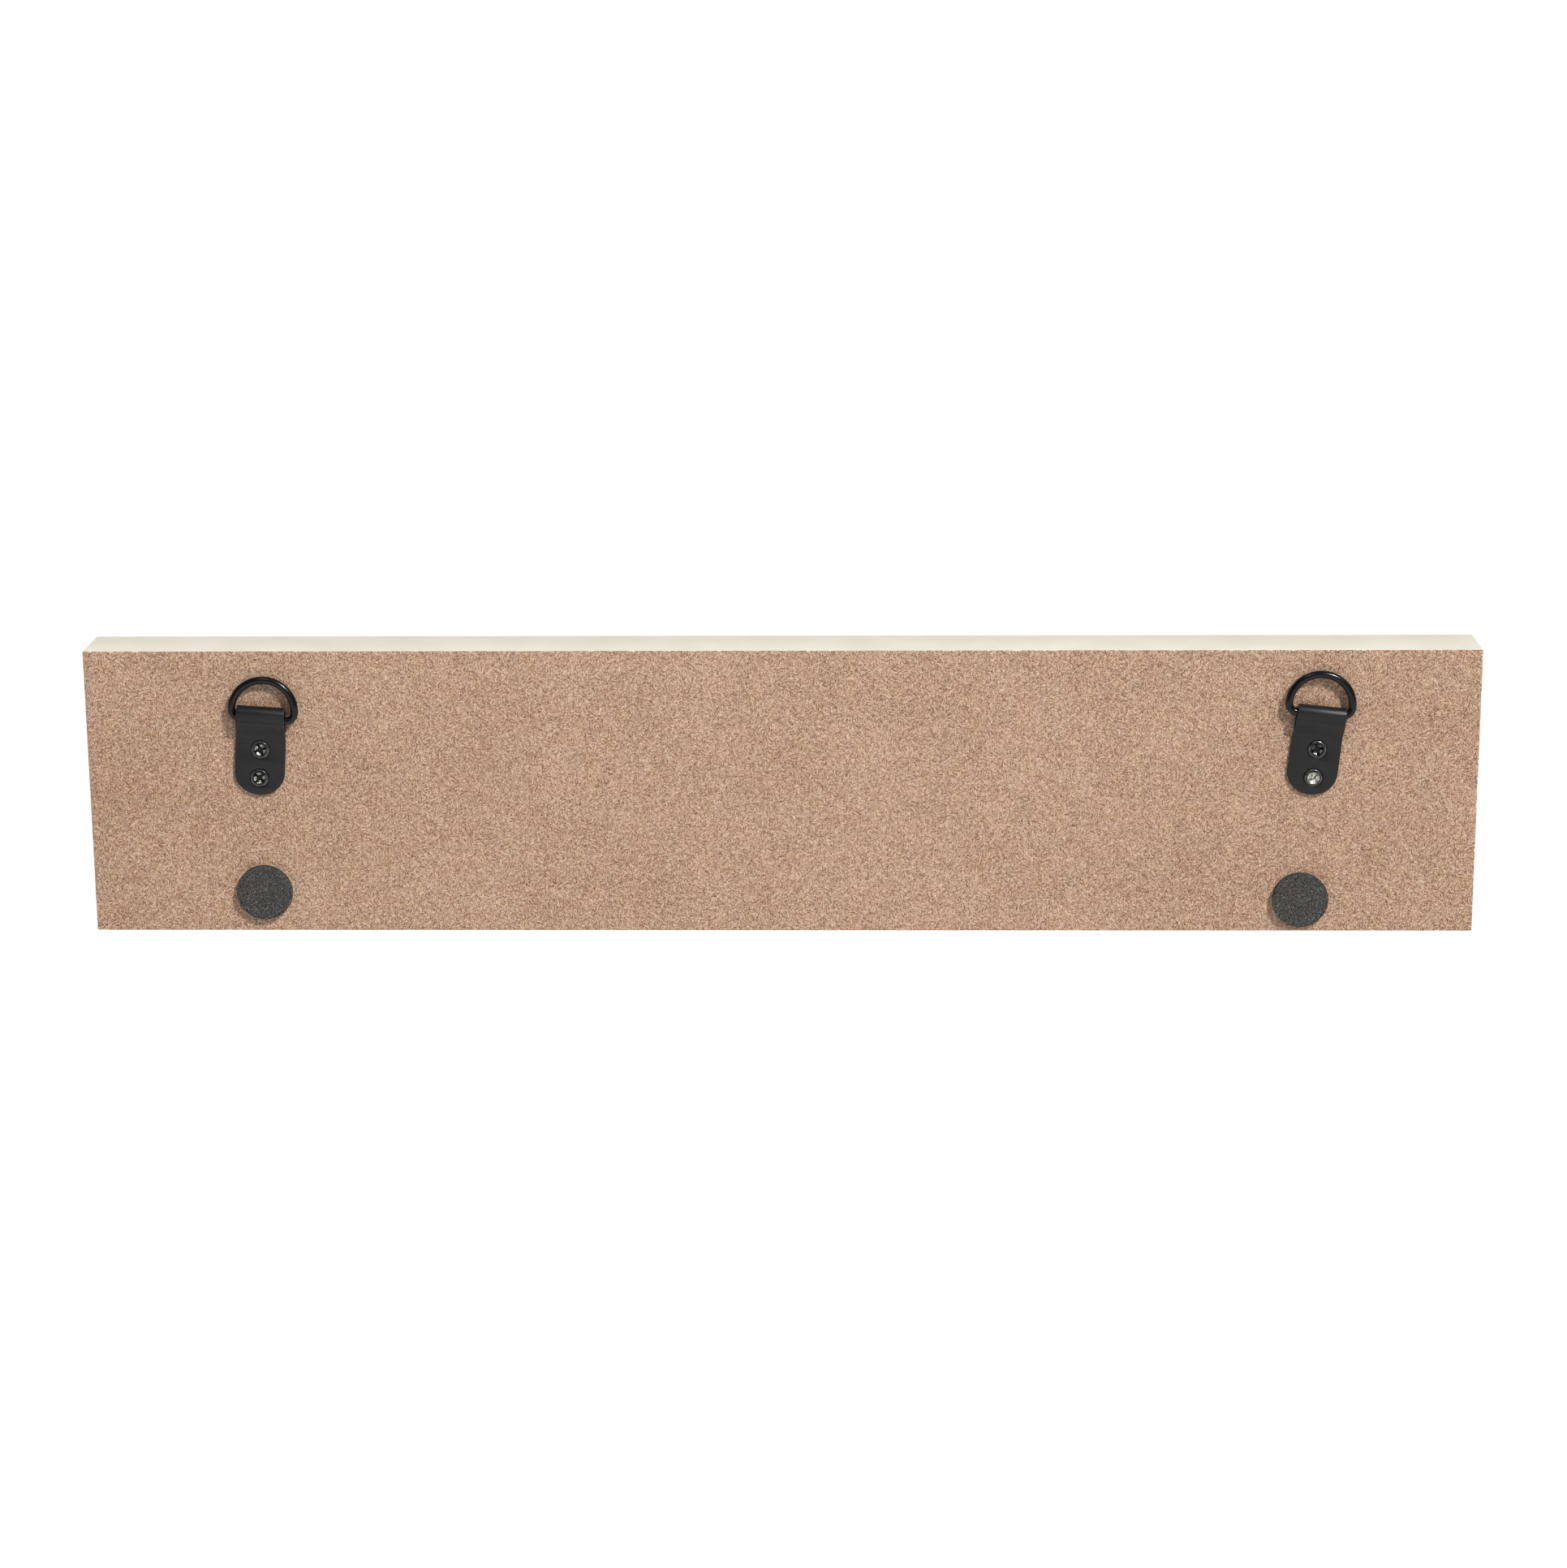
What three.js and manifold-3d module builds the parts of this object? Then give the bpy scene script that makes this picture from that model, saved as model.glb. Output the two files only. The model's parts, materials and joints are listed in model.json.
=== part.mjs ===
// Floating frame: a shallow wall tray with a fibreboard back, a mitred painted rim, two D-ring strap
// hangers and two foam stand-off bumpers. Units are millimetres. +Z is up, the display side faces -Y,
// and the origin is the middle of the bottom edge. The pieces are laid out from the centre of the
// board's raw back face, the side that faces the wall, and one group moves them all to the origin.
import * as THREE from 'three';
import { mergeVertices } from 'three/addons/utils/BufferGeometryUtils.js';
import Module from 'manifold-3d';

const wasm = await Module();
wasm.setup();

// Driving dimensions.
const FRAME = { length: 400, height: 83.5 };
const BOARD_THICKNESS = 12;
const RIM = { width: 6, depth: 8 };

const SHEET = 0.9; // strap metal
const STRAP = {
  width: 14.4,
  loopWidth: 13.5,
  top: 17.4, // above the middle of the two screws
  bottom: -9.2,
  endRise: 6.5, // height of the rounded end
  taperStart: 4.6, // above this the strap narrows towards the loop
  tabEnd: 9.6, // where the folded-under leg stops
  gap: 2.8, // inside the loop, front to back
  slotDrop: 1.7, // straight part of the loop
  ramp: 6.2, // where the front layer comes down to the board
  rampFoot: 2.4, // how softly it leaves the board
  rampCrest: 1.8, // and how softly it meets the loop
  rampSag: 0.3,
};
const RING = { wire: 2.2, width: 18.1, height: 11.4, corner: 2.6, buttGap: 0.4 };
const RING_LEAN = 4.25; // degrees that a resting ring leans in towards the board

const SCREW = {
  spacing: 8.4,
  headRadius: 2.6,
  rimHeight: 0.25,
  rimDepth: 0.15,
  domeRise: 0.22,
  dome: [[0.5, 0.75], [0.85, 0.28]], // shares of the head's radius and of the dome's rise
  headDepth: 1.5,
  rootRadius: 1.0,
  threadRadius: 1.4,
  shankRadius: 1.25,
  length: 9.6,
  plainShank: 1.2,
  pitch: 1.1,
  crestDrop: 0.45,
  rootDrop: 0.65,
  tip: 2.2,
};
const RECESS = { wing: 2.9, thickness: 0.62, depth: 1.25, core: 0.85, coreTaper: 0.4, coreSink: 0.15 };
const STRAP_HOLE = { radius: 1.65, sinkRadius: 2.85 };
const PILOT = { radius: 1.6, mouthRadius: 2.4, mouthDepth: 0.9, depth: 10.4 };

const BUMPER = { radius: 8.15, foam: 1.7, film: 0.3, filmRadius: 8.0 };

// Each hanger: where the middle of its screws is, how far it is turned on the board, how far its outline
// is off its holes, where its ring's bar lies in the loop, and how far its two screws are driven round.
const HANGERS = [
  {
    side: 'right',
    x: 150.1,
    z: 8.6,
    turn: -4.2,
    shift: 0,
    ring: { x: -0.5, z: 13.6, turn: -0.7 },
    drives: [12, 50],
  },
  {
    side: 'left',
    x: -153.2,
    z: 8.5,
    turn: -6.3,
    shift: 0.45,
    ring: { x: 0.9, z: 15.0, turn: 1.2 },
    drives: [-22, 34],
  },
];
const BUMPERS = [
  { side: 'right', x: 150.2, z: -29.8 },
  { side: 'left', x: -150.0, z: -32.0 },
];

const ROUND_SIDES = 48;
const SCREW_SIDES = 24;
const OVER = 1; // how far a cutting tool runs past the face it cuts
const degrees = THREE.MathUtils.degToRad;

const materials = {
  board: new THREE.MeshStandardMaterial({ color: 0xb8987d, roughness: 0.95, metalness: 0 }),
  paint: new THREE.MeshStandardMaterial({ color: 0xe5e1ce, roughness: 0.55, metalness: 0 }),
  strap: new THREE.MeshStandardMaterial({ color: 0x262626, roughness: 0.5, metalness: 0.3 }),
  ring: new THREE.MeshStandardMaterial({ color: 0x1f2022, roughness: 0.3, metalness: 0.5 }),
  screw: new THREE.MeshStandardMaterial({ color: 0x3a3a3a, roughness: 0.3, metalness: 0.9 }),
  foam: new THREE.MeshStandardMaterial({ color: 0x484a48, roughness: 0.95, metalness: 0 }),
  film: new THREE.MeshStandardMaterial({ color: 0xd8d4c8, roughness: 0.4, metalness: 0 }),
};

function mesh(name, geometry, material) {
  const made = new THREE.Mesh(geometry, material);
  made.name = name;
  return made;
}

// A closed three.js geometry as a manifold-3d solid.
function solid(geometry) {
  const plain = geometry.clone();
  plain.deleteAttribute('normal');
  plain.deleteAttribute('uv');
  const merged = mergeVertices(plain, 1e-4);
  return new wasm.Manifold(
    new wasm.Mesh({
      numProp: 3,
      vertProperties: new Float32Array(merged.attributes.position.array),
      triVerts: new Uint32Array(merged.index.array),
    }),
  );
}

// A manifold-3d solid as a three.js geometry.
function geometryOf(made) {
  const data = made.getMesh();
  const position = new Float32Array(data.numVert * 3);
  for (let i = 0; i < data.numVert; i++) {
    position.set(data.vertProperties.subarray(i * data.numProp, i * data.numProp + 3), i * 3);
  }
  const geometry = new THREE.BufferGeometry();
  geometry.setAttribute('position', new THREE.BufferAttribute(position, 3));
  geometry.setIndex(new THREE.BufferAttribute(new Uint32Array(data.triVerts), 1));
  geometry.computeVertexNormals();
  return geometry;
}

// A lathed solid about the Y axis, from [radius, y] pairs that start and end on the axis.
function turned(pairs, sides) {
  const profile = pairs.map(([radius, y]) => new THREE.Vector2(radius, y));
  return new THREE.LatheGeometry(profile, sides);
}

// Where a hanger's screws are, in the hanger's own frame.
const screwHeights = [SCREW.spacing / 2, -SCREW.spacing / 2];

// The board: raw fibreboard with a blind pilot hole for each screw.
function boardGeometry() {
  const box = new THREE.BoxGeometry(FRAME.length, BOARD_THICKNESS, FRAME.height);
  let made = solid(box.translate(0, -BOARD_THICKNESS / 2, 0));
  const tool = turned(
    [
      [0, OVER],
      [PILOT.mouthRadius, OVER],
      [PILOT.mouthRadius, 0],
      [PILOT.radius, -PILOT.mouthDepth],
      [PILOT.radius, -PILOT.depth],
      [0, -PILOT.depth],
    ].reverse(),
    SCREW_SIDES,
  );
  for (const hanger of HANGERS) {
    const turn = new THREE.Matrix4().makeRotationY(degrees(hanger.turn));
    for (const z of screwHeights) {
      const spot = new THREE.Vector3(0, 0, z).applyMatrix4(turn);
      made = made.subtract(solid(tool.clone().translate(hanger.x + spot.x, 0, hanger.z + spot.z)));
    }
  }
  return geometryOf(made);
}

// One mitred rim rail along X, its outer face at z = outer and its ends at +-half.
function railGeometry(half, outer) {
  const shape = new THREE.Shape();
  shape.moveTo(-half, outer);
  shape.lineTo(-half + RIM.width, outer - RIM.width);
  shape.lineTo(half - RIM.width, outer - RIM.width);
  shape.lineTo(half, outer);
  const geometry = new THREE.ExtrudeGeometry(shape, { depth: RIM.depth, bevelEnabled: false });
  geometry.rotateX(Math.PI / 2); // the shape's y becomes z, and the depth runs to -Y
  return geometry.translate(0, -BOARD_THICKNESS, 0);
}

function rails() {
  const halfLength = FRAME.length / 2;
  const halfHeight = FRAME.height / 2;
  const long = railGeometry(halfLength, halfHeight);
  const short = railGeometry(halfHeight, halfLength);
  const quarter = Math.PI / 2;
  return [
    mesh('top_rail', long, materials.paint),
    mesh('bottom_rail', long.clone().rotateY(2 * quarter), materials.paint),
    mesh('right_rail', short.clone().rotateY(quarter), materials.paint),
    mesh('left_rail', short.clone().rotateY(-quarter), materials.paint),
  ];
}

// The strap's side profile: x runs up the strap, y out from the board.
function strapProfile() {
  const outerY = 2 * SHEET + STRAP.gap;
  const innerY = SHEET + STRAP.gap;
  const centreY = outerY / 2;
  const arcX = STRAP.top - centreY;
  const slotX = arcX - STRAP.slotDrop; // where the front layer starts down to the board
  const flatX = slotX - STRAP.ramp; // where it lies on the board
  const shape = new THREE.Shape();
  shape.moveTo(STRAP.bottom, 0);
  shape.lineTo(flatX, 0);
  const footX = flatX + STRAP.rampFoot;
  const crestX = slotX - STRAP.rampCrest;
  shape.bezierCurveTo(footX, 0, crestX, innerY - STRAP.rampSag, slotX, innerY);
  shape.lineTo(arcX, innerY);
  shape.absarc(arcX, centreY, STRAP.gap / 2, Math.PI / 2, -Math.PI / 2, true);
  shape.lineTo(STRAP.tabEnd, SHEET);
  shape.lineTo(STRAP.tabEnd, 0);
  shape.lineTo(arcX, 0);
  shape.absarc(arcX, centreY, centreY, -Math.PI / 2, Math.PI / 2, false);
  shape.lineTo(slotX, outerY);
  shape.bezierCurveTo(crestX, outerY - STRAP.rampSag, footX, SHEET, flatX, SHEET);
  shape.lineTo(STRAP.bottom, SHEET);
  return shape;
}

// The strap seen from the wall: x across, y up. It narrows a little towards the loop.
function strapOutline() {
  const half = STRAP.width / 2;
  const loopHalf = STRAP.loopWidth / 2;
  const endY = STRAP.bottom + STRAP.endRise;
  const shape = new THREE.Shape();
  shape.moveTo(-half, endY);
  shape.absellipse(0, endY, half, STRAP.endRise, Math.PI, 2 * Math.PI, false);
  shape.lineTo(half, STRAP.taperStart);
  shape.lineTo(loopHalf, STRAP.top + OVER);
  shape.lineTo(-loopHalf, STRAP.top + OVER);
  shape.lineTo(-half, STRAP.taperStart);
  return shape;
}

function strapGeometry(shift) {
  const sideDepth = STRAP.width + 2 * OVER;
  const side = new THREE.ExtrudeGeometry(strapProfile(), {
    depth: sideDepth,
    bevelEnabled: false,
    curveSegments: 12,
  });
  side.translate(0, 0, -sideDepth / 2);
  side.applyMatrix4(
    new THREE.Matrix4().makeBasis(
      new THREE.Vector3(0, 0, 1),
      new THREE.Vector3(0, 1, 0),
      new THREE.Vector3(-1, 0, 0),
    ),
  );
  const planDepth = 2 * SHEET + STRAP.gap + 2 * OVER;
  const plan = new THREE.ExtrudeGeometry(strapOutline(), {
    depth: planDepth,
    bevelEnabled: false,
    curveSegments: 24,
  });
  plan.rotateX(Math.PI / 2).translate(shift, planDepth - OVER, 0);
  let made = solid(side).intersect(solid(plan));
  const hole = turned(
    [
      [0, SHEET + OVER],
      [STRAP_HOLE.sinkRadius, SHEET + OVER],
      [STRAP_HOLE.sinkRadius, SHEET],
      [STRAP_HOLE.radius, SHEET - (STRAP_HOLE.sinkRadius - STRAP_HOLE.radius)],
      [STRAP_HOLE.radius, -OVER],
      [0, -OVER],
    ].reverse(),
    SCREW_SIDES,
  );
  // The sheet is thinner than a full countersink, so the cone runs out through its underside.
  for (const z of screwHeights) made = made.subtract(solid(hole.clone().translate(0, 0, z)));
  return geometryOf(made);
}

// The ring's centreline, with z = 0 along the bar: a half ellipse on two rounded corners, and a butt
// gap in the bar where the bent wire's ends meet inside the strap's loop.
class RingLine extends THREE.Curve {
  constructor() {
    super();
    const half = RING.width / 2;
    const corner = RING.corner;
    const gap = RING.buttGap / 2;
    this.path = new THREE.Path();
    this.path.moveTo(gap, 0);
    this.path.lineTo(half - corner, 0);
    this.path.absarc(half - corner, corner, corner, -Math.PI / 2, 0, false);
    this.path.absellipse(0, corner, half, RING.height - corner, 0, Math.PI, false);
    this.path.absarc(-half + corner, corner, corner, Math.PI, 1.5 * Math.PI, false);
    this.path.lineTo(-gap, 0);
  }
  getPoint(t, target = new THREE.Vector3()) {
    const point = this.path.getPoint(t);
    return target.set(point.x, 0, point.y);
  }
}

function ringGeometry() {
  const section = new THREE.Shape();
  section.absarc(0, 0, RING.wire / 2, 0, 2 * Math.PI, false);
  return new THREE.ExtrudeGeometry(section, {
    steps: 72,
    curveSegments: 12,
    extrudePath: new RingLine(),
    bevelEnabled: false,
  });
}

// A countersunk wood screw with a cross recess, its head up along +Y and the strap's face at y = SHEET.
function screwGeometry() {
  const rim = SHEET + SCREW.rimHeight;
  const neck = rim - SCREW.headDepth;
  const end = neck - SCREW.length;
  const threadTop = neck - SCREW.plainShank;
  const profile = [
    [0, rim + SCREW.domeRise],
    ...SCREW.dome.map(([out, up]) => [SCREW.headRadius * out, rim + SCREW.domeRise * up]),
    [SCREW.headRadius, rim],
    [SCREW.headRadius, rim - SCREW.rimDepth],
    [SCREW.shankRadius, neck],
    [SCREW.shankRadius, threadTop + SCREW.shankRadius - SCREW.rootRadius],
  ];
  const threads = Math.floor((SCREW.length - SCREW.tip - SCREW.plainShank) / SCREW.pitch);
  for (let i = 0; i < threads; i++) {
    const y = threadTop - i * SCREW.pitch;
    profile.push([SCREW.rootRadius, y]);
    profile.push([SCREW.threadRadius, y - SCREW.crestDrop]);
    profile.push([SCREW.rootRadius, y - SCREW.rootDrop]);
  }
  profile.push([SCREW.rootRadius, end + SCREW.tip], [0, end]);
  let made = solid(turned(profile.reverse(), SCREW_SIDES));
  const floor = rim + SCREW.domeRise - RECESS.depth;
  const toolHeight = RECESS.depth + OVER;
  const wing = new THREE.BoxGeometry(RECESS.wing, toolHeight, RECESS.thickness);
  wing.translate(0, floor + toolHeight / 2, 0);
  const coreFoot = RECESS.core * RECESS.coreTaper;
  const core = new THREE.CylinderGeometry(RECESS.core, coreFoot, toolHeight, SCREW_SIDES);
  core.translate(0, floor + toolHeight / 2 - RECESS.coreSink, 0);
  const cut = solid(wing).add(solid(wing.clone().rotateY(Math.PI / 2))).add(solid(core));
  made = made.subtract(cut);
  return geometryOf(made);
}

// A strap, its ring and its two screws, in the hanger's own frame.
function hanger(spec) {
  const group = new THREE.Group();
  group.position.set(spec.x, 0, spec.z);
  group.rotation.y = degrees(spec.turn);
  group.add(mesh(`${spec.side}_hanger_strap`, strapGeometry(spec.shift), materials.strap));

  const seat = new THREE.Group();
  seat.position.set(spec.ring.x, SHEET + STRAP.gap / 2, spec.ring.z);
  seat.rotation.y = degrees(spec.ring.turn);
  const ring = mesh(`${spec.side}_d_ring`, ringGeometry(), materials.ring);
  ring.rotation.x = degrees(RING_LEAN);
  seat.add(ring);
  group.add(seat);

  const heights = { upper: screwHeights[0], lower: screwHeights[1] };
  Object.entries(heights).forEach(([place, z], i) => {
    const screw = mesh(`${spec.side}_${place}_screw`, screwGeometry(), materials.screw);
    screw.position.set(0, 0, z);
    screw.rotation.y = degrees(spec.drives[i]);
    group.add(screw);
  });
  return group;
}

// A self-adhesive foam disc: the foam on its film.
function bumper(spec) {
  const group = new THREE.Group();
  group.position.set(spec.x, 0, spec.z);
  const film = new THREE.CylinderGeometry(BUMPER.filmRadius, BUMPER.filmRadius, BUMPER.film, ROUND_SIDES);
  film.translate(0, BUMPER.film / 2, 0);
  const foam = new THREE.CylinderGeometry(BUMPER.radius, BUMPER.radius, BUMPER.foam, ROUND_SIDES);
  foam.translate(0, BUMPER.film + BUMPER.foam / 2, 0);
  group.add(mesh(`${spec.side}_bumper_film`, film, materials.film));
  group.add(mesh(`${spec.side}_foam_bumper`, foam, materials.foam));
  return group;
}

const pieces = new THREE.Group();
pieces.position.set(0, (BOARD_THICKNESS + RIM.depth) / 2, FRAME.height / 2);
pieces.add(mesh('back_board', boardGeometry(), materials.board));
pieces.add(...rails());
pieces.add(...HANGERS.map(hanger));
pieces.add(...BUMPERS.map(bumper));

const frame = new THREE.Group();
frame.add(pieces);

export default frame;
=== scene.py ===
import json
import math

import bmesh
import bpy
import numpy as np
from mathutils import Matrix, Vector, noise


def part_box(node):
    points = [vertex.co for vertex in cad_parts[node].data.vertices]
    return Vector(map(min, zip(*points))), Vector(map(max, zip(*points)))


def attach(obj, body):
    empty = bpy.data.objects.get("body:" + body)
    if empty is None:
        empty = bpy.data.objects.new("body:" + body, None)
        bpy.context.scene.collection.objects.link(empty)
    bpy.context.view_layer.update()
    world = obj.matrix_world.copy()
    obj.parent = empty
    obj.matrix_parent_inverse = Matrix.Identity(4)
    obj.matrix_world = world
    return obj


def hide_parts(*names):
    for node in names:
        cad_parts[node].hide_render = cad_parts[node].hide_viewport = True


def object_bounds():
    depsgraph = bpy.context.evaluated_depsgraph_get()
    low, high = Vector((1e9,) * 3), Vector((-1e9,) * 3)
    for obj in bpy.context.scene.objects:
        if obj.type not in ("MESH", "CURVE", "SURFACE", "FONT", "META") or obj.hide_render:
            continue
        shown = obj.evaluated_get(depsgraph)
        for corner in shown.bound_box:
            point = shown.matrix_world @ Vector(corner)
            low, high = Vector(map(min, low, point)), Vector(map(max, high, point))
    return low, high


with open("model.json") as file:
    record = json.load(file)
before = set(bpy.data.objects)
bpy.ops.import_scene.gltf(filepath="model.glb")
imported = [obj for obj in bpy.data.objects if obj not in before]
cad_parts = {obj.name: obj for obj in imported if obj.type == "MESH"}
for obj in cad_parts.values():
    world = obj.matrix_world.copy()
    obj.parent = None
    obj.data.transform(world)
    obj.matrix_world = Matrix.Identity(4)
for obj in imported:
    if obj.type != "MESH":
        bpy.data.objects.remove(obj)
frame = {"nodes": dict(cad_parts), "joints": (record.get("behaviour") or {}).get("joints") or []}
cad_box = [list(corner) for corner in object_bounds()]
MM = 0.001

# The board and the rim, from their CAD boxes.
board_low, board_high = (np.array(corner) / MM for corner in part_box("back_board"))
middle_x, _, middle_z = (board_low + board_high) / 2
CENTRE = np.array([middle_x, board_high[1], middle_z])
HALF_X = (board_high[0] - board_low[0]) / 2
HALF_Z = (board_high[2] - board_low[2]) / 2
BOARD_FRONT = board_low[1] - board_high[1]


def box_mm(node):
    low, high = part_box(node)
    return np.array(low) / MM - CENTRE, np.array(high) / MM - CENTRE


RIM_FRONT = box_mm("top_rail")[0][1]
RIM_WIDTH = HALF_Z - box_mm("top_rail")[0][2]
CORNER = 0.5  # radius of the frame's four upright corners
LONG_STEPS, SHORT_STEPS = 440, 92  # points along the board's long and short sides
RAIL_EDGE = 0.45  # radius of a rail's long front edges

# The strap. Heights are above the middle of its two screws.
SHEET = 0.9
STRAP_HALF = 7.2  # half its width
STRAP_SHIFT = {"right": 0.0, "left": 0.45}  # how far each strap's outline is off its holes
END_LOW, END_RISE = -9.2, 6.5  # the rounded end
END_STEPS = 15
RAMP_LOW, RAMP_RISE = 7.2, 6.4  # where the front layer comes away from the board
LOOP_HIGH, LOOP_GAP = 15.1, 2.8  # middle of the loop, and its inside, front to back
TAB_END = 9.6  # where the leg folded in behind stops
TAPER_LOW, TAPER_RISE, TAPER = 4.6, 13.8, 0.45  # how each side narrows towards the loop

# The D-ring, along the middle of its wire.
WIRE = 2.2
RING_HALF, RING_HEIGHT, RING_CORNER = 9.05, 11.4, 2.6
BUTT_HALF_GAP = 0.2  # half the gap between the wire's ends
RING_LEAN = math.radians(4.25)  # how far a resting ring leans in towards the board

# The screws.
HEAD_EDGE = SHEET + 0.25  # height of a head's rim above the board
NECK_DROP = 2.4  # from a head's rim down to its thread
THREAD_LENGTH, PITCH, TIP = 8.7, 1.1, 2.2
ROOT, CREST = 1.0, 0.38  # radius of the thread's core, and how far the thread stands out of it
SCREW_SIDES = 64


# ---- meshes


def piece(name, points, faces, materials=(), body=None, node=None, sharp=35):
    """A mesh that rides on body and stands for a CAD node. A cutter has neither."""
    mesh = bpy.data.meshes.new(name)
    mesh.from_pydata([tuple((c + o) * MM for c, o in zip(p, CENTRE)) for p in points], [], faces)
    made = bmesh.new()
    made.from_mesh(mesh)
    bmesh.ops.remove_doubles(made, verts=made.verts, dist=1e-7)
    bmesh.ops.recalc_face_normals(made, faces=made.faces)
    made.to_mesh(mesh)
    made.free()
    obj = bpy.data.objects.new(name, mesh)
    bpy.context.scene.collection.objects.link(obj)
    for material in materials:
        mesh.materials.append(material)
    finish_mesh(mesh, sharp)
    if body:
        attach(obj, body)
        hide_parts(node)
    return obj


def finish_mesh(mesh, sharp):
    mesh.polygons.foreach_set("use_smooth", [True] * len(mesh.polygons))
    mesh.set_sharp_from_angle(angle=math.radians(sharp))


def loft(rows):
    """Quads between rows of points, each row a closed loop, and a face over each end."""
    points = [tuple(p) for row in rows for p in row]
    count = len(rows[0])
    faces = []
    for a in range(0, len(points) - count, count):
        b = a + count
        for j in range(count):
            k = (j + 1) % count
            faces.append((a + j, a + k, b + k, b + j))
    faces.append(tuple(range(count)))
    faces.append(tuple(range(len(points) - count, len(points))))
    return points, faces


def placed(points, matrix):
    return [tuple(matrix @ Vector(p)) for p in points]


def turned(profile, sides):
    """Rings about Y from (radius, y) pairs; a radius of 0 becomes a tiny ring that welds shut."""
    rings = []
    for radius, y in profile:
        r = max(radius, 1e-5)
        angles = [2 * math.pi * i / sides for i in range(sides)]
        rings.append([(r * math.cos(angle), y, r * math.sin(angle)) for angle in angles])
    return rings


def cut(obj, cutters, *modifiers, sharp=35):
    """Takes the cutters out of the object's mesh, then applies (type, {setting: value}) pairs."""
    taken = {"operation": "DIFFERENCE", "solver": "EXACT"}
    cuts = [("BOOLEAN", {"object": cutter, **taken}) for cutter in cutters]
    for kind, settings in (*cuts, *modifiers):
        modifier = obj.modifiers.new(kind, kind)
        for key, value in settings.items():
            setattr(modifier, key, value)
    graph = bpy.context.evaluated_depsgraph_get()
    mesh = bpy.data.meshes.new_from_object(obj.evaluated_get(graph))
    obj.modifiers.clear()
    obj.data = mesh
    finish_mesh(mesh, sharp)
    for cutter in cutters:
        bpy.data.objects.remove(cutter)


def rough(point, scale, amount, seed=0.0):
    """A smooth random number within +-amount at a point."""
    return amount * noise.noise(Vector(point) * scale + Vector((seed, seed * 1.7, -seed)))


# ---- materials


class Shader:
    """A node material, built by name: sh.add("ShaderNodeMath", [a, b], operation="MULTIPLY")."""

    def __init__(self, name, **constants):
        self.material = bpy.data.materials.new(name)
        self.material.use_nodes = True
        self.tree = self.material.node_tree
        self.bsdf = self.tree.nodes["Principled BSDF"]
        for socket, value in constants.items():
            self.set(socket.replace("_", " "), value)
        place = self.tree.nodes.new("ShaderNodeTexCoord")
        scale = (1 / MM, 1 / MM, 1 / MM)
        inputs = {"Vector": place.outputs["Object"], "Location": tuple(-CENTRE), "Scale": scale}
        self.mm = self.add("ShaderNodeMapping", inputs)

    def add(self, kind, inputs=(), out=0, **settings):
        """A new node's output. inputs are in socket order, or a dict by socket name or number."""
        node = self.tree.nodes.new(kind)
        for key, value in settings.items():
            setattr(node, key, value)
        pairs = inputs.items() if isinstance(inputs, dict) else enumerate(inputs)
        for key, value in pairs:
            self.join(node.inputs[key], value)
        return node.outputs[out]

    def join(self, socket, value):
        if isinstance(value, bpy.types.NodeSocket):
            self.tree.links.new(value, socket)
        else:
            socket.default_value = value

    def set(self, name, value):
        self.join(self.bsdf.inputs[name], value)

    def math(self, operation, *values):
        return self.add("ShaderNodeMath", values, operation=operation)

    def noise(self, scale, detail=2.0, roughness=0.5, shift=0.0, stretch=(1, 1, 1)):
        """Noise with scale features to the millimetre."""
        spot = {"Vector": self.mm, "Location": (shift, shift * 0.7, -shift), "Scale": stretch}
        where = self.add("ShaderNodeMapping", spot)
        inputs = {"Vector": where, "Scale": scale, "Detail": detail, "Roughness": roughness}
        return self.add("ShaderNodeTexNoise", inputs)

    def ramp(self, value, low, high, out_low=0.0, out_high=1.0):
        inputs = {"Value": value, "From Min": low, "From Max": high}
        inputs.update({"To Min": out_low, "To Max": out_high})
        return self.add("ShaderNodeMapRange", inputs, interpolation_type="SMOOTHSTEP")

    def mix(self, factor, a, b):
        # Sockets 6 and 7, and output 2, are the colour ones.
        return self.add("ShaderNodeMix", {0: factor, 6: a, 7: b}, out=2, data_type="RGBA")

    def bump(self, height, strength, distance):
        inputs = {"Height": height, "Strength": strength, "Distance": distance}
        self.set("Normal", self.add("ShaderNodeBump", inputs))

    def strokes(self, seed, across, along, cell):
        """Short fibres, -1 dark to 1 pale: stretched noise, turned its own way in each cell."""
        spot = {"Vector": self.mm, "Location": (seed, seed * 0.3, -seed)}
        where = self.add("ShaderNodeMapping", spot)
        cells = self.add("ShaderNodeTexVoronoi", {"Vector": where, "Scale": cell}, out="Color")
        angle = self.math("MULTIPLY", self.add("ShaderNodeSeparateColor", [cells]), 12.0)
        turn = {"Vector": where, "Axis": (0, 1, 0), "Angle": angle}
        turned_spot = self.add("ShaderNodeVectorRotate", turn)
        stretch = {"Vector": turned_spot, "Scale": (along, 1, across)}
        stretched = self.add("ShaderNodeMapping", stretch)
        grain = {"Vector": stretched, "Scale": 1.0, "Detail": 0.5, "Roughness": 0.5}
        field = self.add("ShaderNodeTexNoise", grain)
        return self.ramp(field, 0.35, 0.65, -1.0, 1.0)


def linear(red, green, blue):
    """An sRGB colour, 0 to 255, as a linear RGBA."""
    out = []
    for c in (red / 255, green / 255, blue / 255):
        out.append(c / 12.92 if c < 0.04045 else ((c + 0.055) / 1.055) ** 2.4)
    return (*out, 1.0)


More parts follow.
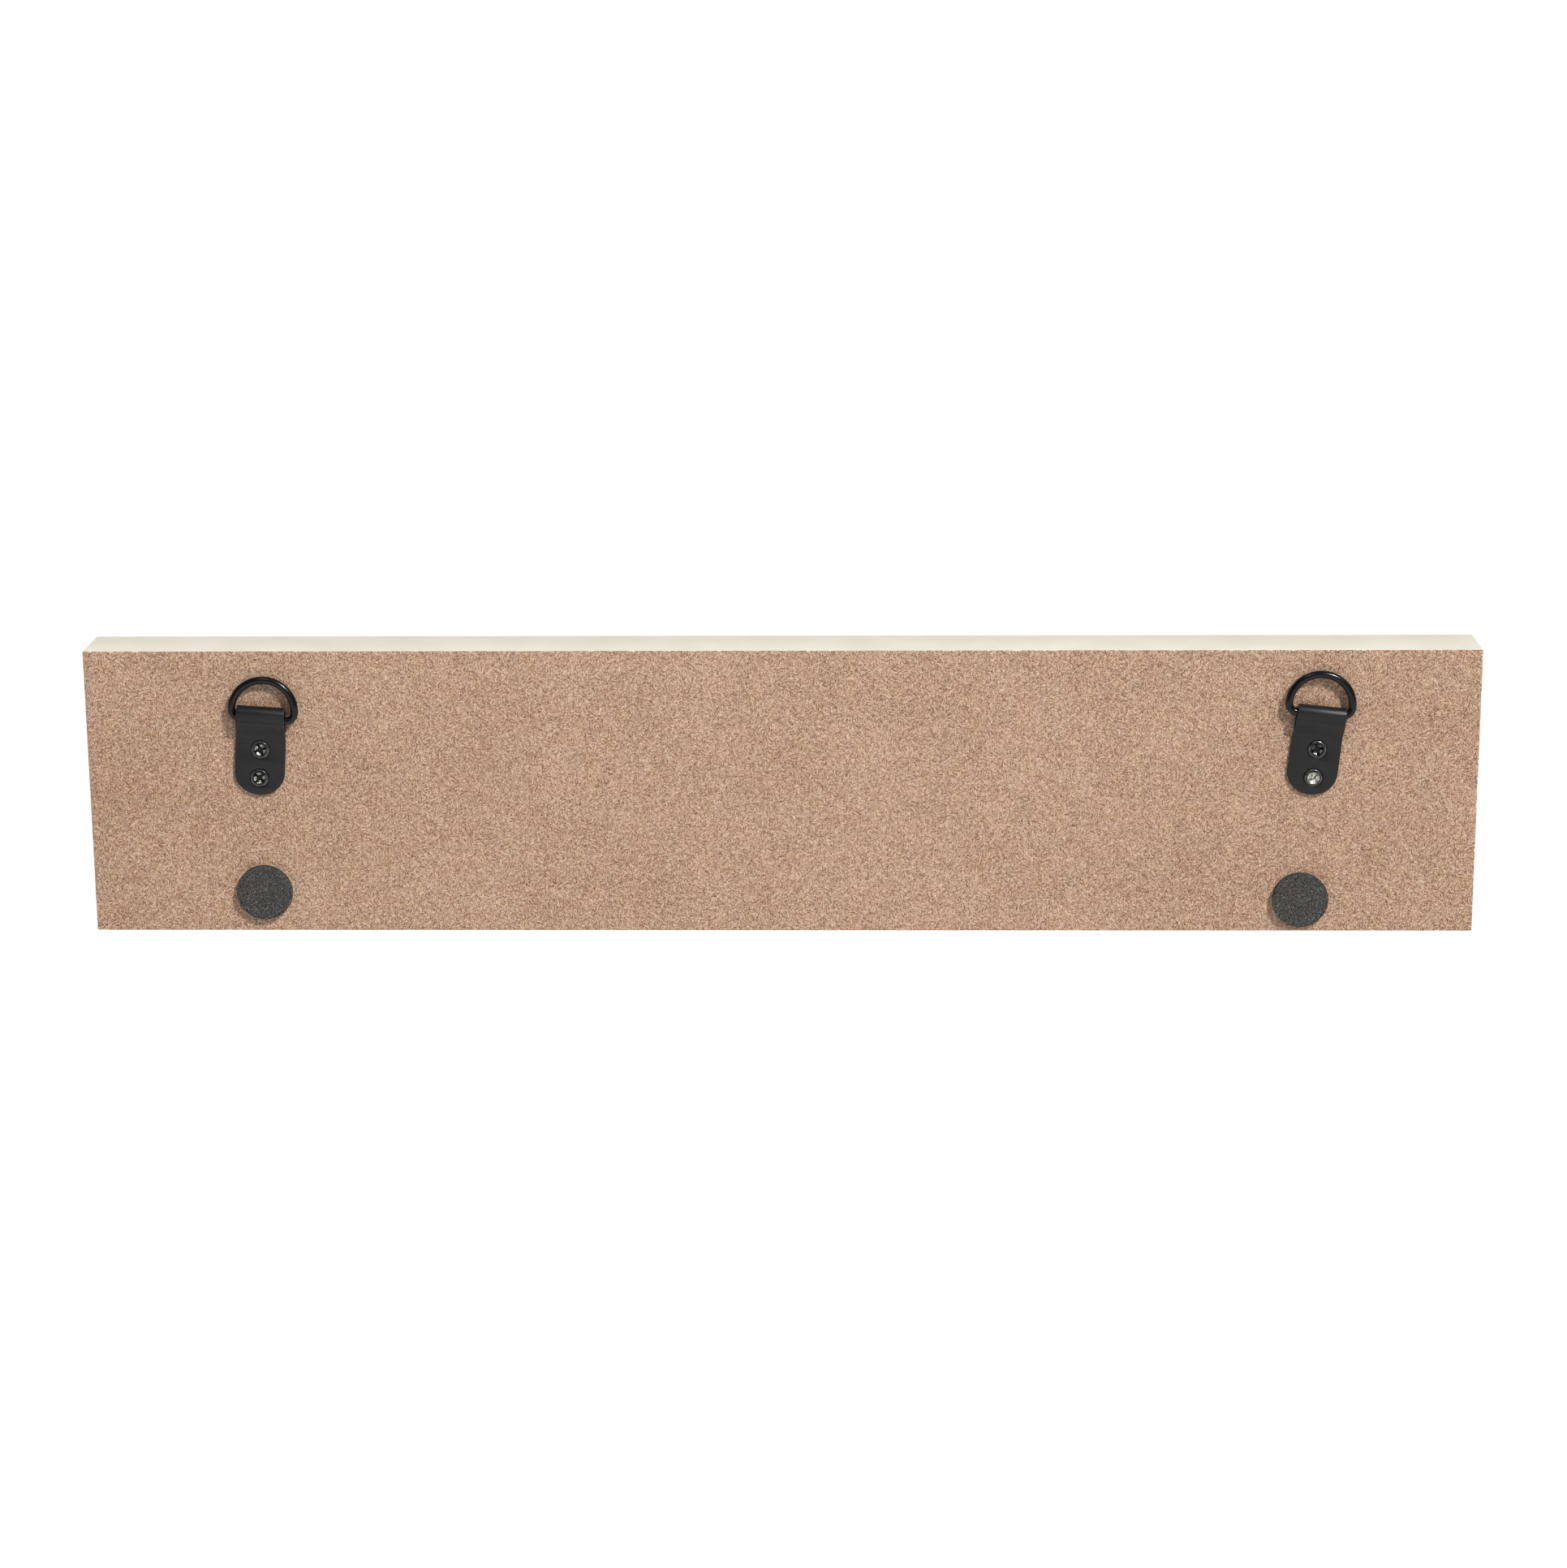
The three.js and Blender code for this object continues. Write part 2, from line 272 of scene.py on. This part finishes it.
def paint_color(sh):
    """The cream coat, the same on the board's edges and the rim: its stipple and its colour."""
    cloud = sh.ramp(sh.noise(0.05, 3.0), 0.3, 0.7)
    color = sh.mix(cloud, linear(219, 214, 199), linear(225, 221, 207))
    stipple = sh.noise(1.6, 3.0, 0.6)
    return stipple, sh.mix(sh.ramp(stipple, 0.35, 0.75, 0.0, 0.04), color, linear(188, 176, 146))


def paint_material():
    sh = Shader("cream_paint", Roughness=0.6, Specular_IOR_Level=0.25)
    stipple, color = paint_color(sh)
    streak = sh.noise(0.9, 2.0, 0.5, 5.0, (0.08, 1.0, 1.0))
    sh.set("Base Color", color)
    sh.bump(sh.math("ADD", stipple, sh.math("MULTIPLY", streak, 0.7)), 0.12, 0.00006)
    return sh.material


def board_material():
    sh = Shader("raw_fibreboard", Roughness=0.92, Specular_IOR_Level=0.15)
    # Broad clouding in three tints: pinkish brown, greyish green and yellowish tan.
    cloud = sh.ramp(sh.noise(0.11, 3.0, 0.6), 0.42, 0.66)
    patch = sh.ramp(sh.noise(0.2, 3.0, 0.6, 9.0), 0.46, 0.66)
    color = sh.mix(sh.math("MULTIPLY", cloud, 0.5), linear(187, 148, 125), linear(178, 153, 127))
    color = sh.mix(sh.math("MULTIPLY", patch, 0.6), color, linear(188, 154, 119))
    broad = sh.ramp(sh.noise(0.035, 3.0, 0.6, 44.0), 0.3, 0.7, -0.06, 0.06)
    # Felted wood fibres lying every way, a few of them much darker or paler, over fine dust. Their
    # pale and dark strokes are partly the fibres' own colour and partly painted shade and highlight
    # of their relief.
    felt = sh.math("ADD", sh.strokes(3.0, 5.0, 2.4, 1.7), sh.strokes(31.0, 6.8, 3.4, 2.5))
    felt = sh.math("ADD", felt, sh.math("MULTIPLY", sh.strokes(67.0, 3.4, 1.8, 1.3), 0.65))
    dust = sh.ramp(sh.noise(4.0, 2.0, 0.6, 3.0), 0.3, 0.7, -1.0, 1.0)
    long_fibre = sh.strokes(101.0, 3.6, 0.9, 0.6)
    dark = sh.ramp(long_fibre, -0.95, -0.7, 1.0, 0.0)
    pale = sh.ramp(long_fibre, 0.75, 1.0)
    tone = sh.math("ADD", sh.math("MULTIPLY", felt, 0.34), sh.math("MULTIPLY", dust, 0.16))
    tone = sh.math("ADD", tone, sh.math("MULTIPLY", pale, 0.45))
    tone = sh.math("SUBTRACT", tone, sh.math("MULTIPLY", dark, 0.45))
    x, y, z = (sh.add("ShaderNodeSeparateXYZ", [sh.mm], out=i) for i in range(3))
    flat = sh.add("ShaderNodeCombineXYZ", [x, z, 0.0])
    where = {"Vector": flat, "Scale": 1.3}
    near = sh.add("ShaderNodeTexVoronoi", where, voronoi_dimensions="2D")
    chance = sh.add("ShaderNodeTexVoronoi", where, out="Color", voronoi_dimensions="2D")
    chosen = sh.math("LESS_THAN", sh.add("ShaderNodeSeparateColor", [chance]), 0.3)
    speck = sh.math("MULTIPLY", sh.ramp(near, 0.12, 0.24, 1.0, 0.0), chosen)
    tone = sh.math("SUBTRACT", tone, sh.math("MULTIPLY", speck, 1.0))
    # The two ends are a little darker than the middle: painted shade, where the light falls off
    # towards them.
    ends = sh.ramp(sh.math("ABSOLUTE", x), 60.0, 190.0, 0.0, -0.08)
    tone = sh.math("ADD", tone, sh.math("ADD", broad, ends))
    color = sh.mix(sh.math("MAXIMUM", tone, 0.0), color, linear(229, 205, 182))
    darker = sh.math("MAXIMUM", sh.math("MULTIPLY", tone, -1.0), 0.0)
    color = sh.mix(darker, color, linear(98, 68, 50))
    # Cream paint on the board's edges, which creeps over the arris in places.
    side = sh.math("SUBTRACT", HALF_X, sh.math("ABSOLUTE", x))
    rise = sh.math("SUBTRACT", HALF_Z, sh.math("ABSOLUTE", z))
    inset = sh.math("MINIMUM", side, rise)
    creep = sh.ramp(sh.noise(0.5, 3.0, 0.65, 17.0), 0.5, 0.8, 0.12, 0.55)
    on_edge = sh.math("LESS_THAN", inset, creep)
    behind = sh.math("LESS_THAN", y, -0.4)
    painted = sh.math("MAXIMUM", on_edge, behind)
    color = sh.mix(painted, color, paint_color(sh)[1])
    sh.set("Base Color", color)
    sh.set("Roughness", sh.ramp(painted, 0.0, 1.0, 0.92, 0.6))
    relief = sh.math("ADD", felt, sh.math("MULTIPLY", dust, 0.4))
    bare = sh.math("SUBTRACT", 1.0, painted)
    sh.bump(sh.math("MULTIPLY", relief, bare), 0.5, 0.00008)
    return sh.material


def black_coat(name, color, roughness, grain):
    sh = Shader(name, Metallic=0.0, Specular_IOR_Level=0.32)
    cloud = sh.ramp(sh.noise(0.25, 3.0), 0.3, 0.7)
    dull = tuple(c * 1.35 for c in color[:3]) + (1.0,)
    sh.set("Base Color", sh.mix(cloud, color, dull))
    fine = sh.noise(7.0, 3.0, 0.6)
    sh.set("Roughness", sh.ramp(fine, 0.25, 0.75, roughness - 0.06, roughness + 0.08))
    sh.bump(fine, grain, 0.00002)
    return sh.material


def head_material():
    """Glossy black coating on a screw's head, a little dusty."""
    sh = Shader("black_screw", Specular_IOR_Level=0.6)
    dust = sh.ramp(sh.noise(2.2, 3.0, 0.6), 0.5, 0.75, 0.0, 0.25)
    sh.set("Base Color", sh.mix(dust, linear(14, 14, 15), linear(70, 70, 68)))
    sh.set("Roughness", sh.ramp(sh.noise(5.0, 2.0), 0.3, 0.7, 0.16, 0.34))
    return sh.material


def rim_highlight_material():
    """The head's edge: painted highlight, patches of bright metal that stand in for the light
    caught on its rounded rim.
    """
    sh = Shader("painted_rim_highlight", Specular_IOR_Level=0.6)
    bare = sh.ramp(sh.noise(0.9, 2.0, 0.5, 12.0), 0.4, 0.65, 0.05, 0.6)
    sh.set("Base Color", sh.mix(bare, linear(18, 18, 19), linear(120, 120, 118)))
    sh.set("Metallic", bare)
    sh.set("Roughness", 0.22)
    return sh.material


def recess_material(name, worn):
    """The driven cross: black coating, with steel showing through where the driver wore it."""
    sh = Shader(name, Specular_IOR_Level=0.5)
    bare = sh.ramp(sh.noise(1.5, 3.0, 0.6, worn * 40), 0.62 - 0.4 * worn, 0.7 - 0.4 * worn)
    sh.set("Base Color", sh.mix(bare, linear(62, 62, 62), linear(222, 221, 212)))
    sh.set("Metallic", bare)
    sh.set("Roughness", sh.ramp(sh.noise(6.0, 2.0), 0.3, 0.7, 0.14, 0.3))
    sh.bump(sh.noise(1.8, 2.0, 0.5, 60.0), 0.8, 0.0003)
    return sh.material


def foam_material():
    sh = Shader("grey_foam", Roughness=0.95, Specular_IOR_Level=0.2)
    cell = sh.ramp(sh.noise(2.6, 2.0, 0.6, 7.0), 0.36, 0.5)
    fleck = sh.ramp(sh.noise(3.4, 2.0, 0.6, 21.0), 0.56, 0.68)
    color = sh.mix(cell, linear(10, 10, 9), linear(66, 65, 63))
    color = sh.mix(sh.math("MULTIPLY", fleck, 0.7), color, linear(140, 139, 134))
    sh.set("Base Color", color)
    sh.bump(sh.math("ADD", cell, fleck), 0.5, 0.00012)
    return sh.material


def film_material():
    sh = Shader("adhesive_film", Roughness=0.4)
    sh.set("Base Color", sh.mix(sh.noise(0.8, 2.0), linear(196, 192, 180), linear(222, 218, 206)))
    return sh.material


paint = paint_material()
board = board_material()
# Painted highlight for the strap's cut edges round the loop.
edge_painted_sheen = black_coat("strap_edge_highlight", linear(60, 60, 62), 0.2, 0.1)
strap_black = black_coat("black_strap", linear(21, 21, 22), 0.42, 0.2)
wire_black = black_coat("black_wire", linear(9, 10, 12), 0.2, 0.08)
foam = foam_material()
film = film_material()
head_black = head_material()
# Painted highlight for the rims of the screw heads.
rim_painted_highlight = rim_highlight_material()
# Painted shade for the deep core of a screw's cross.
core_painted_shade = black_coat("recess_core_shade", linear(8, 8, 8), 0.5, 0.1)


# ---- board and rim


def perimeter(inset, y, wobble=0.0):
    """A loop round the frame, inset from its outer faces, with rounded corners and frayed sides."""
    radius = max(CORNER - inset, 0.02)
    reach_x = HALF_X - inset - radius
    reach_z = HALF_Z - inset - radius
    loop = []
    corners = [
        (reach_x, reach_z, 0),
        (-reach_x, reach_z, 90),
        (-reach_x, -reach_z, 180),
        (reach_x, -reach_z, 270),
    ]
    for i, (cx, cz, start) in enumerate(corners):
        for step in range(6):
            angle = math.radians(start + step * 18)
            loop.append((cx + radius * math.cos(angle), y, cz + radius * math.sin(angle)))
        end = loop[-1]
        nx, nz, turn = corners[(i + 1) % 4]
        angle = math.radians(turn)
        goal = (nx + radius * math.cos(angle), y, nz + radius * math.sin(angle))
        steps = LONG_STEPS if i % 2 == 0 else SHORT_STEPS
        for step in range(1, steps):
            t = step / steps
            loop.append(tuple(a + (b - a) * t for a, b in zip(end, goal)))
    if not wobble:
        return loop
    frayed = []
    for x, _, z in loop:
        inward = abs(rough((x, 0, z), 0.9, wobble)) + abs(rough((x, 3, z), 0.25, wobble))
        inward = min(inward, 0.3)
        shift_x = math.copysign(inward, x) if HALF_X - abs(x) < 1 else 0
        shift_z = math.copysign(inward, z) if HALF_Z - abs(z) < 1 else 0
        frayed.append((x - shift_x, y, z - shift_z))
    return frayed


def make_board():
    """The panel. Its arris at the back is worn round and a little frayed."""
    rows = [
        perimeter(2.0, 0.0),
        perimeter(0.42, 0.0, 0.15),
        perimeter(0.2, -0.05, 0.12),
        perimeter(0.07, -0.16, 0.1),
        perimeter(0.0, -0.4),
        perimeter(0.0, BOARD_FRONT),
        perimeter(2.0, BOARD_FRONT),
    ]
    points, faces = loft(rows)
    piece("board_panel", points, faces, [board], "frame", "back_board", sharp=60)


def rail_rows(half):
    """One rail along X at the top: its section, swept between the two mitre planes."""
    edge = RAIL_EDGE
    inner = RIM_WIDTH - edge
    rise = RIM_FRONT + edge
    angles = [math.radians(90 * step / 6) for step in range(1, 6)]
    section = [(0.0, BOARD_FRONT), (0.0, rise)]
    section += [(edge - edge * math.cos(a), rise - edge * math.sin(a)) for a in angles]
    section += [(edge, RIM_FRONT), (inner, RIM_FRONT)]
    section += [(inner + edge * math.sin(a), rise - edge * math.cos(a)) for a in angles]
    section += [(RIM_WIDTH, rise), (RIM_WIDTH, BOARD_FRONT)]
    near = []
    for run in (0, 0.06, 0.14, 0.24, 0.36, 0.6):
        near.append([rail_point(half, offset, y, run) for offset, y in section])
    far = [[(-x, y, z) for x, y, z in row] for row in reversed(near)]
    reach = half - RIM_WIDTH - 2
    middle = []
    for x in np.linspace(-reach, reach, int(half / 4)):
        middle.append([(x, y, -offset) for offset, y in section])
    return near + middle + far


def rail_point(half, offset, y, run):
    """A point of the rail's section, run millimetres past the mitre, where the corner is round."""
    along = max(offset, CORNER * (1 - math.sqrt(0.5))) + run
    rounding = 0.0
    if along < CORNER:
        rounding = CORNER - math.sqrt(CORNER**2 - (CORNER - along) ** 2)
    return (-half + along, y, -max(offset, rounding))


def make_rails():
    plans = [
        ("top", HALF_X, HALF_Z, 0),
        ("left", HALF_Z, HALF_X, -90),
        ("bottom", HALF_X, HALF_Z, 180),
        ("right", HALF_Z, HALF_X, 90),
    ]
    for side, half, out, turn in plans:
        points, faces = loft(rail_rows(half))
        matrix = Matrix.Rotation(math.radians(turn), 4, "Y") @ Matrix.Translation((0, 0, out))
        points = placed(points, matrix)
        piece(f"{side}_rim_rail", points, faces, [paint], "frame", f"{side}_rail", sharp=50)


# ---- hangers


def screw_spot(side, place):
    low, high = box_mm(f"{side}_{place}_screw")
    return (low + high) / 2


def hanger_frame(side):
    """The hanger's frame, midway between its screws with Z up the strap, and half their gap."""
    upper, lower = screw_spot(side, "upper"), screw_spot(side, "lower")
    up = upper - lower
    middle = (upper + lower) / 2
    turn = math.atan2(up[0], up[2])
    matrix = Matrix.Translation((middle[0], 0, middle[2])) @ Matrix.Rotation(turn, 4, "Y")
    return matrix, float(np.linalg.norm([up[0], up[2]])) / 2


def direction(line, i):
    """Which way a line of 2D points runs at its i-th point."""
    before = line[max(i - 1, 0)]
    after = line[min(i + 1, len(line) - 1)]
    return Vector((after[0] - before[0], after[1] - before[1])).normalized()


def ease(t):
    return t * t * (3 - 2 * t)


def ramp_between(t, low, high):
    """0 up to low, 1 from high on and straight in between, with softened ends."""
    soft = 0.05
    u = (t - low) / (high - low)
    return (math.log1p(math.exp(u / soft)) - math.log1p(math.exp((u - 1) / soft))) * soft


def strap_path():
    """The middle of the sheet, end to tab, as (height, distance from the board)."""
    half = SHEET / 2
    front = SHEET + LOOP_GAP + half
    # The rounded end and the flat, the ramp with its crease, the loop, and the leg behind.
    path = [(END_LOW + END_RISE * (1 - math.cos(end_angle(i))), half) for i in range(END_STEPS)]
    path += [(z, half) for z in np.linspace(-2.0, 6.4, 8)]
    for t in np.linspace(0, 1, 26):
        rise = 0.25 * ease(t) + 0.75 * ramp_between(t, 0.12, 0.9)
        crease = 0.22 * math.exp(-(((t - 0.97) / 0.06) ** 2))
        path.append((RAMP_LOW + RAMP_RISE * t, half + (front - half) * rise - crease))
    path += [(LOOP_HIGH - 1.1, front), (LOOP_HIGH - 0.5, front)]
    bend = (LOOP_GAP + SHEET) / 2
    for a in np.linspace(90, -90, 25):
        angle = math.radians(a)
        path.append((LOOP_HIGH + bend * math.cos(angle), half + bend + bend * math.sin(angle)))
    path += [(z, half) for z in np.linspace(LOOP_HIGH - 0.5, TAB_END, 6)]
    return path


def end_angle(i):
    """How far round the strap's rounded end its i-th row lies."""
    return math.radians(3 + 6 * i)


def strap_half_width(height, i):
    if i < END_STEPS:
        return STRAP_HALF * math.sin(end_angle(i))
    return STRAP_HALF - TAPER * min(max((height - TAPER_LOW) / TAPER_RISE, 0), 1)


def make_strap(side):
    """The folded sheet, with a dimpled hole for each screw and softened edges."""
    matrix, reach = hanger_frame(side)
    path = strap_path()
    rows = []
    for i, (z, y) in enumerate(path):
        along = direction(path, i)
        nz, ny = -along[1] * SHEET / 2, along[0] * SHEET / 2
        w = strap_half_width(z, i)
        a, b = STRAP_SHIFT[side] - w, STRAP_SHIFT[side] + w
        row = [(a, y + ny, z + nz), (b, y + ny, z + nz), (b, y - ny, z - nz), (a, y - ny, z - nz)]
        rows.append(row)
    points, faces = loft(rows)
    points = placed(points, matrix)
    strap = piece(f"{side}_strap", points, faces, [strap_black], "frame", f"{side}_hanger_strap")
    hole = [(0, -1), (1.65, -1), (1.65, -0.3), (2.55, 0.6), (2.8, 0.82), (3.0, 0.9)]
    hole += [(3.3, 0.95), (3.3, 2), (0, 2)]
    points, faces = loft(turned(hole, 64))
    cutters = []
    for z in (reach, -reach):
        spot = matrix @ Matrix.Translation((0, 0, z))
        cutters.append(piece("cutter", placed(points, spot), faces))
    edge = {"width": 0.16 * MM, "segments": 3, "limit_method": "ANGLE"}
    edge["angle_limit"] = math.radians(40)
    cut(strap, cutters, ("BEVEL", edge))
    # Painted highlight: the cut edges round the loop get a paler, glossier coat, so they catch the
    # light.
    strap.data.materials.append(edge_painted_sheen)
    home = (Matrix.Translation(CENTRE) @ matrix).inverted()
    for face in strap.data.polygons:
        spot = home @ (face.center / MM)
        facing = home.to_3x3() @ face.normal
        if spot[2] > 12.0 and abs(facing[0]) > 0.3:
            face.material_index = 1


def d_line():
    """The ring's centreline from one butt end of the bar round to the other, as (x, z)."""
    inner, corner = RING_HALF - RING_CORNER, RING_CORNER
    side = [(x, 0.0) for x in np.linspace(BUTT_HALF_GAP, inner, 6)[:-1]]
    for a in range(-90, 0, 10):
        angle = math.radians(a)
        side.append((inner + corner * math.cos(angle), corner + corner * math.sin(angle)))
    arch = []
    for a in range(0, 181, 3):
        angle = math.radians(a)
        rise = (RING_HEIGHT - corner) * math.sin(angle)
        arch.append((RING_HALF * math.cos(angle), corner + rise))
    return side + arch + [(-x, z) for x, z in reversed(side)]


def make_ring(side):
    """The wire, leaning in from its hinge towards the board."""
    joint = next(j for j in frame["joints"] if j["child"] == f"{side}_ring")
    pivot = Vector(joint["pos_m"]) / MM - Vector(CENTRE)
    axis = Vector(joint["axis"])
    turn = math.atan2(axis[2], -axis[0])
    matrix = Matrix.Translation(pivot) @ Matrix.Rotation(turn, 4, "Y")
    matrix = matrix @ Matrix.Rotation(RING_LEAN, 4, "X")
    line = d_line()
    rows = []
    for i, (x, z) in enumerate(line):
        along = direction(line, i)
        row = []
        for step in range(24):
            angle = 2 * math.pi * step / 24
            across = WIRE / 2 * math.cos(angle)
            row.append((x - along[1] * across, WIRE / 2 * math.sin(angle), z + along[0] * across))
        rows.append(row)
    points, faces = loft(rows)
    points = placed(points, matrix)
    body, node = f"{side}_ring", f"{side}_d_ring"
    piece(f"{side}_ring_wire", points, faces, [wire_black], body, node, sharp=60)


def screw_rows():
    """A countersunk head on a helical thread, as rows of points about the Y axis."""
    crown = [(0, 0.22), (0.7, 0.21), (1.4, 0.17), (1.9, 0.12), (2.2, 0.06), (2.38, 0.0)]
    crown += [(2.5, -0.08), (2.57, -0.17)]
    flank = [(2.6, -0.28), (2.52, -0.36), (1.25, -1.5), (1.25, -2.2)]
    rows = turned([(r, HEAD_EDGE + y) for r, y in crown + flank], SCREW_SIDES)
    top = HEAD_EDGE - NECK_DROP
    steps = 89
    for step in range(steps + 1):
        down = THREAD_LENGTH * step / steps
        fade = min(1.0, max(0.0, (THREAD_LENGTH - down) / TIP))
        row = []
        for i in range(SCREW_SIDES):
            phase = (down / PITCH - i / SCREW_SIDES) % 1.0
            crest = max(0.0, 1 - abs(phase - 0.5) * 4)
            radius = max((ROOT + CREST * crest) * fade, 0.03)
            angle = 2 * math.pi * i / SCREW_SIDES
            row.append((radius * math.cos(angle), top - down, radius * math.sin(angle)))
        rows.append(row)
    return rows


def recess_cutter():
    """A cross recess: two tapered bars for the wings and a funnel for the throat."""
    top, floor = SHEET + 0.6, 0.12
    rows = []
    for y, wide, thin in ((top, 2.0, 0.5), (floor, 1.2, 0.32)):
        rows.append([(-wide, y, -thin), (wide, y, -thin), (wide, y, thin), (-wide, y, thin)])
    points, faces = loft(rows)
    across = placed(points, Matrix.Rotation(math.radians(90), 4, "Y"))
    throat = [(0, top), (1.9, top), (1.6, SHEET + 0.12), (0.88, SHEET - 0.3)]
    throat += [(0.72, floor), (0, floor - 0.03)]
    return [(points, faces), (across, faces), loft(turned(throat, 32))]


def make_screw(side, place, turn, recess, deep):
    """A screw, its cross turned by turn degrees. recess and deep are the looks of the cross."""
    x, _, z = screw_spot(side, place)
    spot = Matrix.Translation((x, 0, z))
    matrix = spot @ Matrix.Rotation(math.radians(turn), 4, "Y")
    points, faces = loft(screw_rows())
    points = placed(points, matrix)
    looks = [head_black, recess, rim_painted_highlight, deep]
    worn, rim, core = 1, 2, 3
    name = f"{side}_{place}_screw"
    screw = piece(f"{name}_head", points, faces, looks, "frame", name, sharp=40)
    cutters = [piece("cutter", placed(p, matrix), f) for p, f in recess_cutter()]
    cut(screw, cutters, sharp=30)
    # The head's rim gets a painted highlight; the cross is worn on its shallow slopes; its core
    # gets painted shade, or worn steel on one screw.
    middle = Vector(CENTRE) + spot.to_translation()
    for face in screw.data.polygons:
        x, y, z = face.center / MM - middle
        reach = math.hypot(x, z)
        facing = face.normal[1]
        if y < SHEET - 1.6:
            continue
        if 2.25 < reach < 2.62 and y > SHEET - 0.05:
            face.material_index = rim
        elif reach < 1.9 and y < SHEET + 0.4 and facing < 0.97:
            face.material_index = worn if facing > 0.6 and reach > 0.85 else core
        elif reach < 1.2 and y < SHEET:
            face.material_index = core


# ---- bumpers


def make_bumper(side, seed):
    """A foam disc with a pitted face and side, and the look of the film behind it."""
    low, high = box_mm(f"{side}_foam_bumper")
    cx, cz = (low[0] + high[0]) / 2, (low[2] + high[2]) / 2
    radius = (high[0] - low[0]) / 2
    base, top = low[1], high[1]
    sides = 300
    rows = []
    # The face, its rounded edge, the side and the base.
    profile = [(r, top) for r in np.linspace(0.05, radius - 0.35, 52)]
    profile += [(radius - 0.2, top - 0.03), (radius - 0.08, top - 0.12)]
    profile += [(radius - 0.03, top - 0.3)]
    profile += [(radius - 0.03, y) for y in np.linspace(top - 0.5, base + 0.15, 8)]
    profile += [(radius - 0.1, base), (0.05, base)]
    for r, y in profile:
        row = []
        for i in range(sides):
            angle = 2 * math.pi * i / sides
            x, z = r * math.cos(angle), r * math.sin(angle)
            spot = (x, y, z)
            pit = -abs(rough(spot, 2.4, 0.12, seed)) - abs(rough(spot, 0.7, 0.08, seed + 5))
            if y > top - 0.2 and r < radius - 0.1:
                row.append((cx + x, y + pit, cz + z))
            elif y > base and r > 1:
                pull = 1 + pit / r
                row.append((cx + x * pull, y, cz + z * pull))
            else:
                row.append((cx + x, y, cz + z))
        rows.append(row)
    points, faces = loft(rows)
    name, node = f"{side}_bumper_foam", f"{side}_foam_bumper"
    disc = piece(name, points, faces, [foam], "frame", node, sharp=60)
    sticky = frame["nodes"][f"{side}_bumper_film"].data.materials
    sticky.clear()
    sticky.append(film)


# ---- the object

make_board()
make_rails()
for side in ("right", "left"):
    make_strap(side)
    make_ring(side)
make_screw("right", "upper", 20, recess_material("worn_recess", 0.45), core_painted_shade)
make_screw("right", "lower", 48, recess_material("scraped_recess", 0.5), core_painted_shade)
make_screw("left", "upper", 15, recess_material("black_recess", 0.1), core_painted_shade)
torn_core = recess_material("torn_core", 0.55)
make_screw("left", "lower", 40, recess_material("bright_recess", 1.0), torn_core)
make_bumper("right", 1.3)
make_bumper("left", 8.1)

# ---- floor, light and camera


def area_light(name, spot, target, size, watts, color=(1, 1, 1)):
    data = bpy.data.lights.new(name, "AREA")
    data.shape = "DISK"
    data.size = size
    data.energy = watts
    data.color = color
    light = bpy.data.objects.new(name, data)
    light.location = spot
    light.rotation_euler = (Vector(target) - Vector(spot)).to_track_quat("-Z", "Y").to_euler()
    bpy.context.scene.collection.objects.link(light)


def make_floor():
    """A wide floor that glows white, like the photo's ground."""
    sh = Shader("pale_floor", Roughness=0.9, Specular_IOR_Level=0.0)
    sh.set("Base Color", (0.03, 0.03, 0.03, 1))
    sh.set("Emission Color", (1, 1, 1, 1))
    sh.set("Emission Strength", 1.0)
    mesh = bpy.data.meshes.new("floor")
    z = cad_box[0][2] - 0.00002
    r = 15
    mesh.from_pydata([(-r, -r, z), (r, -r, z), (r, r, z), (-r, r, z)], [], [(0, 1, 2, 3)])
    mesh.materials.append(sh.material)
    floor = bpy.data.objects.new("floor", mesh)
    bpy.context.scene.collection.objects.link(floor)


def make_camera():
    """The photo's camera, fitted to the board's corners: behind it and a little above."""
    yaw, pitch, roll = (math.radians(a) for a in (1.49, 14.65, -0.4))
    level = math.cos(pitch)
    ahead = Vector((math.sin(yaw) * level, -math.cos(yaw) * level, -math.sin(pitch)))
    across = ahead.cross(Vector((0, 0, 1))).normalized()
    above = across.cross(ahead)
    right = math.cos(roll) * across + math.sin(roll) * above
    up = -math.sin(roll) * across + math.cos(roll) * above
    data = bpy.data.cameras.new("camera")
    data.sensor_fit = "HORIZONTAL"
    data.sensor_width = 36
    data.lens = 85.12
    camera = bpy.data.objects.new("camera", data)
    turn = Matrix((right, up, -ahead)).transposed().to_4x4()
    spot = (Vector((-27.7, 1031.9, 272.2)) + Vector(CENTRE)) * MM
    camera.matrix_world = Matrix.Translation(spot) @ turn
    bpy.context.scene.collection.objects.link(camera)
    bpy.context.scene.camera = camera


scene = bpy.context.scene
scene.view_settings.view_transform = "Standard"
world = bpy.data.worlds.new("studio")
world.use_nodes = True
sky = world.node_tree.nodes["Background"].inputs
sky["Color"].default_value = (1, 1, 1, 1)
sky["Strength"].default_value = 0.1
scene.world = world
make_floor()
area_light("key", (-1.9, 2.3, 2.9), (0, 0, 0.04), 0.65, 186, (1, 0.985, 0.965))
area_light("overhead", (0.3, 1.0, 1.7), (0, 0, 0.04), 0.5, 4)
area_light("front_fill", (0.4, -1.6, 2.4), (0, 0, 0), 1.2, 11)
area_light("display_fill", (1.5, -1.5, 0.6), (0, 0, 0.04), 1.0, 12)
make_camera()
